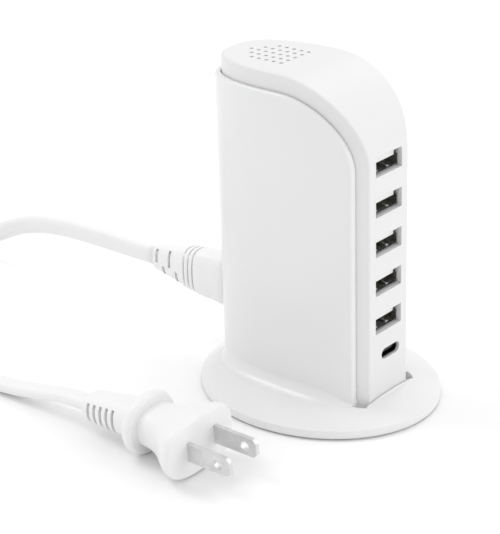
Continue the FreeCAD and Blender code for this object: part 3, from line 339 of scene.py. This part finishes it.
class Finish:
    """A material's node tree, with short calls for the nodes that the looks need."""

    def __init__(self, name):
        self.material = bpy.data.materials.new(name)
        self.material.use_nodes = True
        self.tree = self.material.node_tree
        self.surface = self.tree.nodes["Principled BSDF"]
        self.place = self.add("ShaderNodeTexCoord").outputs["Object"]

    def add(self, kind, values=None, **settings):
        """A node; values are numbers, colours or sockets for its inputs."""
        node = self.tree.nodes.new(kind)
        for key, value in settings.items():
            setattr(node, key, value)
        for key, value in (values or {}).items():
            self.feed(node.inputs[key], value)
        return node

    def feed(self, socket, value):
        """Links a socket, or sets a number or a colour."""
        if isinstance(value, bpy.types.NodeSocket):
            self.tree.links.new(value, socket)
        elif isinstance(value, tuple) and len(value) == 3 and socket.type == "RGBA":
            socket.default_value = (*value, 1)
        else:
            socket.default_value = value

    def set(self, **values):
        """Inputs of the surface itself, with _ for the spaces in their names."""
        for key, value in values.items():
            self.feed(self.surface.inputs[key.replace("_", " ")], value)

    def stretched(self, scale):
        """Object coordinates drawn out along the axes with a small scale."""
        return self.add("ShaderNodeMapping", {"Vector": self.place, "Scale": scale}).outputs[0]

    def noise(self, scale, detail=3, where=None):
        values = {"Vector": where or self.place, "Scale": scale, "Detail": detail}
        return self.add("ShaderNodeTexNoise", values).outputs["Fac"]

    def spread(self, factor, low, high, new_low=0.0, new_high=1.0):
        """Stretches one span of a factor over another."""
        values = {
            "Value": factor, "From Min": low, "From Max": high,
            "To Min": new_low, "To Max": new_high,
        }
        return self.add("ShaderNodeMapRange", values).outputs[0]

    def blend(self, factor, first, second):
        node = self.add("ShaderNodeMix", data_type="RGBA")
        self.feed(node.inputs["Factor"], factor)
        self.feed(node.inputs["A"], first)
        self.feed(node.inputs["B"], second)
        return next(socket for socket in node.outputs if socket.type == "RGBA")

    def bump(self, height, depth, below=None):
        """Relief of a depth in metres, on top of an earlier bump."""
        values = {"Height": height, "Strength": 1.0, "Distance": depth}
        if below is not None:
            values["Normal"] = below
        return self.add("ShaderNodeBump", values).outputs[0]


def shade(colour, factor):
    return tuple(min(1, c * factor) for c in colour)


def moulded(name, colour, roughness, mottle=0.02, grain=0.000006, pores=3500, coat=0.0):
    """Moulded plastic: faint clouds in its colour, uneven gloss, and a fine pored skin."""
    look = Finish(name)
    clouds = look.spread(look.noise(26, 4), 0.3, 0.7)
    flecks = look.spread(look.noise(900, 2), 0.62, 0.78)
    tone = look.blend(clouds, shade(colour, 1 - mottle), shade(colour, 1 + mottle / 2))
    tone = look.blend(look.spread(flecks, 0, 1, 0, 0.25), tone, shade(colour, 1 - 3 * mottle))
    gloss = look.spread(look.noise(60, 5), 0.3, 0.7, roughness * 0.9, roughness * 1.12)
    skin = look.bump(look.noise(pores, 2), grain)
    flow = look.bump(look.noise(55, 1), grain * 3, skin)
    look.set(Base_Color=tone, Roughness=gloss, Normal=flow)
    look.set(Coat_Weight=coat, Coat_Roughness=0.12)
    return look.material


def metal(name, colour, roughness, lines=(1.0, 0.06, 1.0), depth=0.000004):
    """Rolled metal: fine lines along one direction, and duller patches where it is handled."""
    look = Finish(name)
    drawn = look.noise(5200, 3, look.stretched(lines))
    handled = look.spread(look.noise(160, 4), 0.4, 0.72)
    tone = look.blend(handled, colour, shade(colour, 0.84))
    gloss = look.spread(drawn, 0.3, 0.7, roughness * 0.8, roughness * 1.3)
    look.set(Base_Color=tone, Roughness=gloss, Metallic=1.0, Normal=look.bump(drawn, depth))
    return look.material


def circuit_board(name, colour, roughness):
    """Solder mask over copper tracks, with tinned pads in a grid."""
    look = Finish(name)
    mask = look.noise(70, 3)
    tracks = look.add(
        "ShaderNodeTexBrick",
        {"Vector": look.place, "Scale": 240, "Color1": (1, 1, 1), "Color2": (0.8, 0.8, 0.8),
         "Mortar": (0, 0, 0), "Mortar Size": 0.03},
    ).outputs["Fac"]
    pads = look.add(
        "ShaderNodeTexVoronoi", {"Vector": look.place, "Scale": 330, "Randomness": 0.15}
    ).outputs["Distance"]
    pad = look.spread(pads, 0.2, 0.16)
    tone = look.blend(look.spread(mask, 0.3, 0.7), shade(colour, 0.85), shade(colour, 1.15))
    tone = look.blend(look.spread(tracks, 0, 1, 0, 0.5), tone, shade(colour, 1.9))
    tone = look.blend(pad, tone, (0.72, 0.71, 0.67))
    look.set(Base_Color=tone, Roughness=roughness, Metallic=look.spread(pad, 0, 1, 0, 0.9))
    look.set(Normal=look.bump(pad, 0.00004, look.bump(tracks, 0.00003)))
    return look.material


def banded(name, colour, stripe, roughness, scale):
    """A wrapped surface: turns of wire or tape, or the seams of a sleeve, along Z."""
    look = Finish(name)
    wave = look.add(
        "ShaderNodeTexWave",
        {"Vector": look.place, "Scale": scale, "Distortion": 0.4, "Detail": 2.0},
        bands_direction="Z",
    ).outputs["Fac"]
    worn = look.spread(look.noise(120, 4), 0.35, 0.7, 0, 0.3)
    tone = look.blend(look.spread(wave, 0.2, 0.8), colour, stripe)
    tone = look.blend(worn, tone, shade(colour, 0.8))
    gloss = look.spread(wave, 0, 1, roughness, roughness * 1.3)
    look.set(Base_Color=tone, Roughness=gloss, Normal=look.bump(wave, 0.00006))
    return look.material


def mineral(name, colour, roughness):
    """Ground ferrite or fired ceramic: speckled and slightly pitted."""
    look = Finish(name)
    specks = look.spread(look.noise(1800, 3), 0.45, 0.62)
    pits = look.add("ShaderNodeTexVoronoi", {"Vector": look.place, "Scale": 1500}).outputs[0]
    tone = look.blend(specks, shade(colour, 0.82), shade(colour, 1.15))
    look.set(Base_Color=tone, Roughness=look.spread(specks, 0, 1, roughness, roughness * 0.85))
    look.set(Normal=look.bump(pits, 0.00002))
    return look.material


def woven(name, colour, roughness):
    """A tape of crossed threads with a fluffy face."""
    look = Finish(name)
    threads = [
        look.add(
            "ShaderNodeTexWave", {"Vector": look.place, "Scale": 900, "Distortion": 0.6},
            bands_direction=direction,
        ).outputs["Fac"]
        for direction in ("X", "DIAGONAL")
    ]
    weave = look.add("ShaderNodeMath", {0: threads[0], 1: threads[1]}, operation="MULTIPLY")
    fluff = look.spread(look.noise(2600, 4), 0.5, 0.75)
    tone = look.blend(weave.outputs[0], shade(colour, 0.7), shade(colour, 1.7))
    tone = look.blend(look.spread(fluff, 0, 1, 0, 0.5), tone, shade(colour, 3.0))
    look.set(Base_Color=tone, Roughness=roughness, Sheen_Weight=0.4)
    look.set(Normal=look.bump(weave.outputs[0], 0.00012, look.bump(fluff, 0.00005)))
    return look.material


def make_materials():
    """One material for each slot of the record, by its name."""
    colours = {
        row["slot"]: tuple(row["base_color"][:3]) for row in frame["record"]["materials"]
    }
    looks = {
        "housing_white": moulded(
            "housing_white", (0.75, 0.75, 0.755), 0.34, 0.006, 0.000003, coat=0.05
        ),
        "sleeve_white": moulded("sleeve_white", (0.79, 0.79, 0.795), 0.24, 0.01, 0.000004),
        "cord_white": moulded("cord_white", (0.84, 0.84, 0.84), 0.45, 0.015, 0.00001, 2200),
        "plug_white": moulded("plug_white", (0.84, 0.84, 0.84), 0.4, 0.012, 0.00001, 2600),
        "socket_white": moulded("socket_white", (0.86, 0.86, 0.85), 0.4, 0.02),
        "socket_steel": metal("socket_steel", (0.55, 0.55, 0.56), 0.28),
        # The USB-C shells are nearly black: painted shade that stands in for the dark inside of
        # those ports.
        "shell_dark": metal("shell_dark", (0.05, 0.05, 0.055), 0.35),
        "contact_nickel": metal("contact_nickel", (0.75, 0.75, 0.75), 0.3),
    }
    recipes = {
        "rubber_grey": (moulded, 0.8, 0.08, 0.00003, 1800),
        "socket_black": (moulded, 0.42, 0.1),
        "component_black": (moulded, 0.5, 0.15, 0.00002),
        "film_yellow": (moulded, 0.4, 0.05),
        "disc_blue": (moulded, 0.35, 0.08, 0.00003, 900),
        "insulator_film": (moulded, 0.5, 0.04),
        "wire_brown": (moulded, 0.42, 0.06),
        "wire_blue": (moulded, 0.42, 0.06),
        "screw_steel": (metal, 0.32, (1, 1, 0.1)),
        "contact_gold": (metal, 0.22),
        "capacitor_can": (metal, 0.3, (0.1, 1, 1)),
        "heat_sink_aluminium": (metal, 0.42),
        "board_green": (circuit_board, 0.28),
        "winding_copper": (banded, (0.85, 0.5, 0.25), 0.25, 520),
        "winding_tape": (banded, (0.95, 0.82, 0.3), 0.3, 150),
        "capacitor_sleeve": (banded, (0.1, 0.13, 0.24), 0.3, 60),
        "ferrite": (mineral, 0.6),
        "fuse_ceramic": (mineral, 0.45),
        "tie_black": (woven, 0.85),
    }
    for slot, (recipe, *details) in recipes.items():
        looks[slot] = recipe(slot, colours[slot], *details)
    return looks


def paint(materials, pieces):
    """Gives every CAD node the material of its slot in the record, and the pieces theirs."""
    slots = {row["node"]: row["material_slot"] for row in frame["record"]["subparts"]}
    for node, item in frame["nodes"].items():
        item.data.materials.clear()
        item.data.materials.append(materials[slots[node]])
    for piece in pieces:
        piece.data.materials.clear()
        piece.data.materials.append(materials[piece["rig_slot"]])


# ---------------------------------------------------------------- floor and light

FLOOR_HALF = 6
ROOM_STRENGTH = 0.9
LAMP_AIM = Vector((0, 0, 0.05))
# Each lamp's place, the length of its sides, and its power in watts.
SOFTBOXES = {
    "overhead_softbox": ((-0.25, 0.75, 1.0), 0.5, 3.0),
    "edge_softbox": ((0.85, -0.2, 0.9), 1.4, 3.4),
    "face_softbox": ((0.5, -1.1, 0.35), 0.9, 2.6),
}


def add_floor():
    """A plain pale floor, far wider than the view."""
    bm = bmesh.new()
    bmesh.ops.create_grid(bm, x_segments=8, y_segments=8, size=FLOOR_HALF)
    floor = new_object("floor", mesh_from(bm, "floor"))
    look = Finish("floor_white")
    clouds = look.spread(look.noise(2, 3), 0.3, 0.7)
    look.set(Base_Color=look.blend(clouds, (0.93, 0.93, 0.93), (0.95, 0.95, 0.95)), Roughness=0.7)
    floor.data.materials.append(look.material)


def add_softbox(name, place, side, power):
    """A lit panel whose face is turned to the tower."""
    data = bpy.data.lights.new(name, "AREA")
    data.shape = "RECTANGLE"
    data.size = side
    data.size_y = side
    data.energy = power
    lamp = bpy.data.objects.new(name, data)
    lamp.location = place
    lamp.rotation_euler = (LAMP_AIM - Vector(place)).to_track_quat("-Z", "Y").to_euler()
    bpy.context.scene.collection.objects.link(lamp)


def add_light():
    """A bright even room, a lamp above and behind, and two at the right of the ports."""
    world = bpy.data.worlds.new("studio")
    world.use_nodes = True
    background = world.node_tree.nodes["Background"]
    background.inputs["Color"].default_value = (1, 1, 1, 1)
    background.inputs["Strength"].default_value = ROOM_STRENGTH
    scene = bpy.context.scene
    scene.world = world
    scene.view_settings.view_transform = "Standard"
    for name, (place, side, power) in SOFTBOXES.items():
        add_softbox(name, place, side, power)


add_camera()
tie = add_tie()
springs = add_springs()
cord = add_cord()
paint(make_materials(), [cord, tie, springs])
add_floor()
add_light()
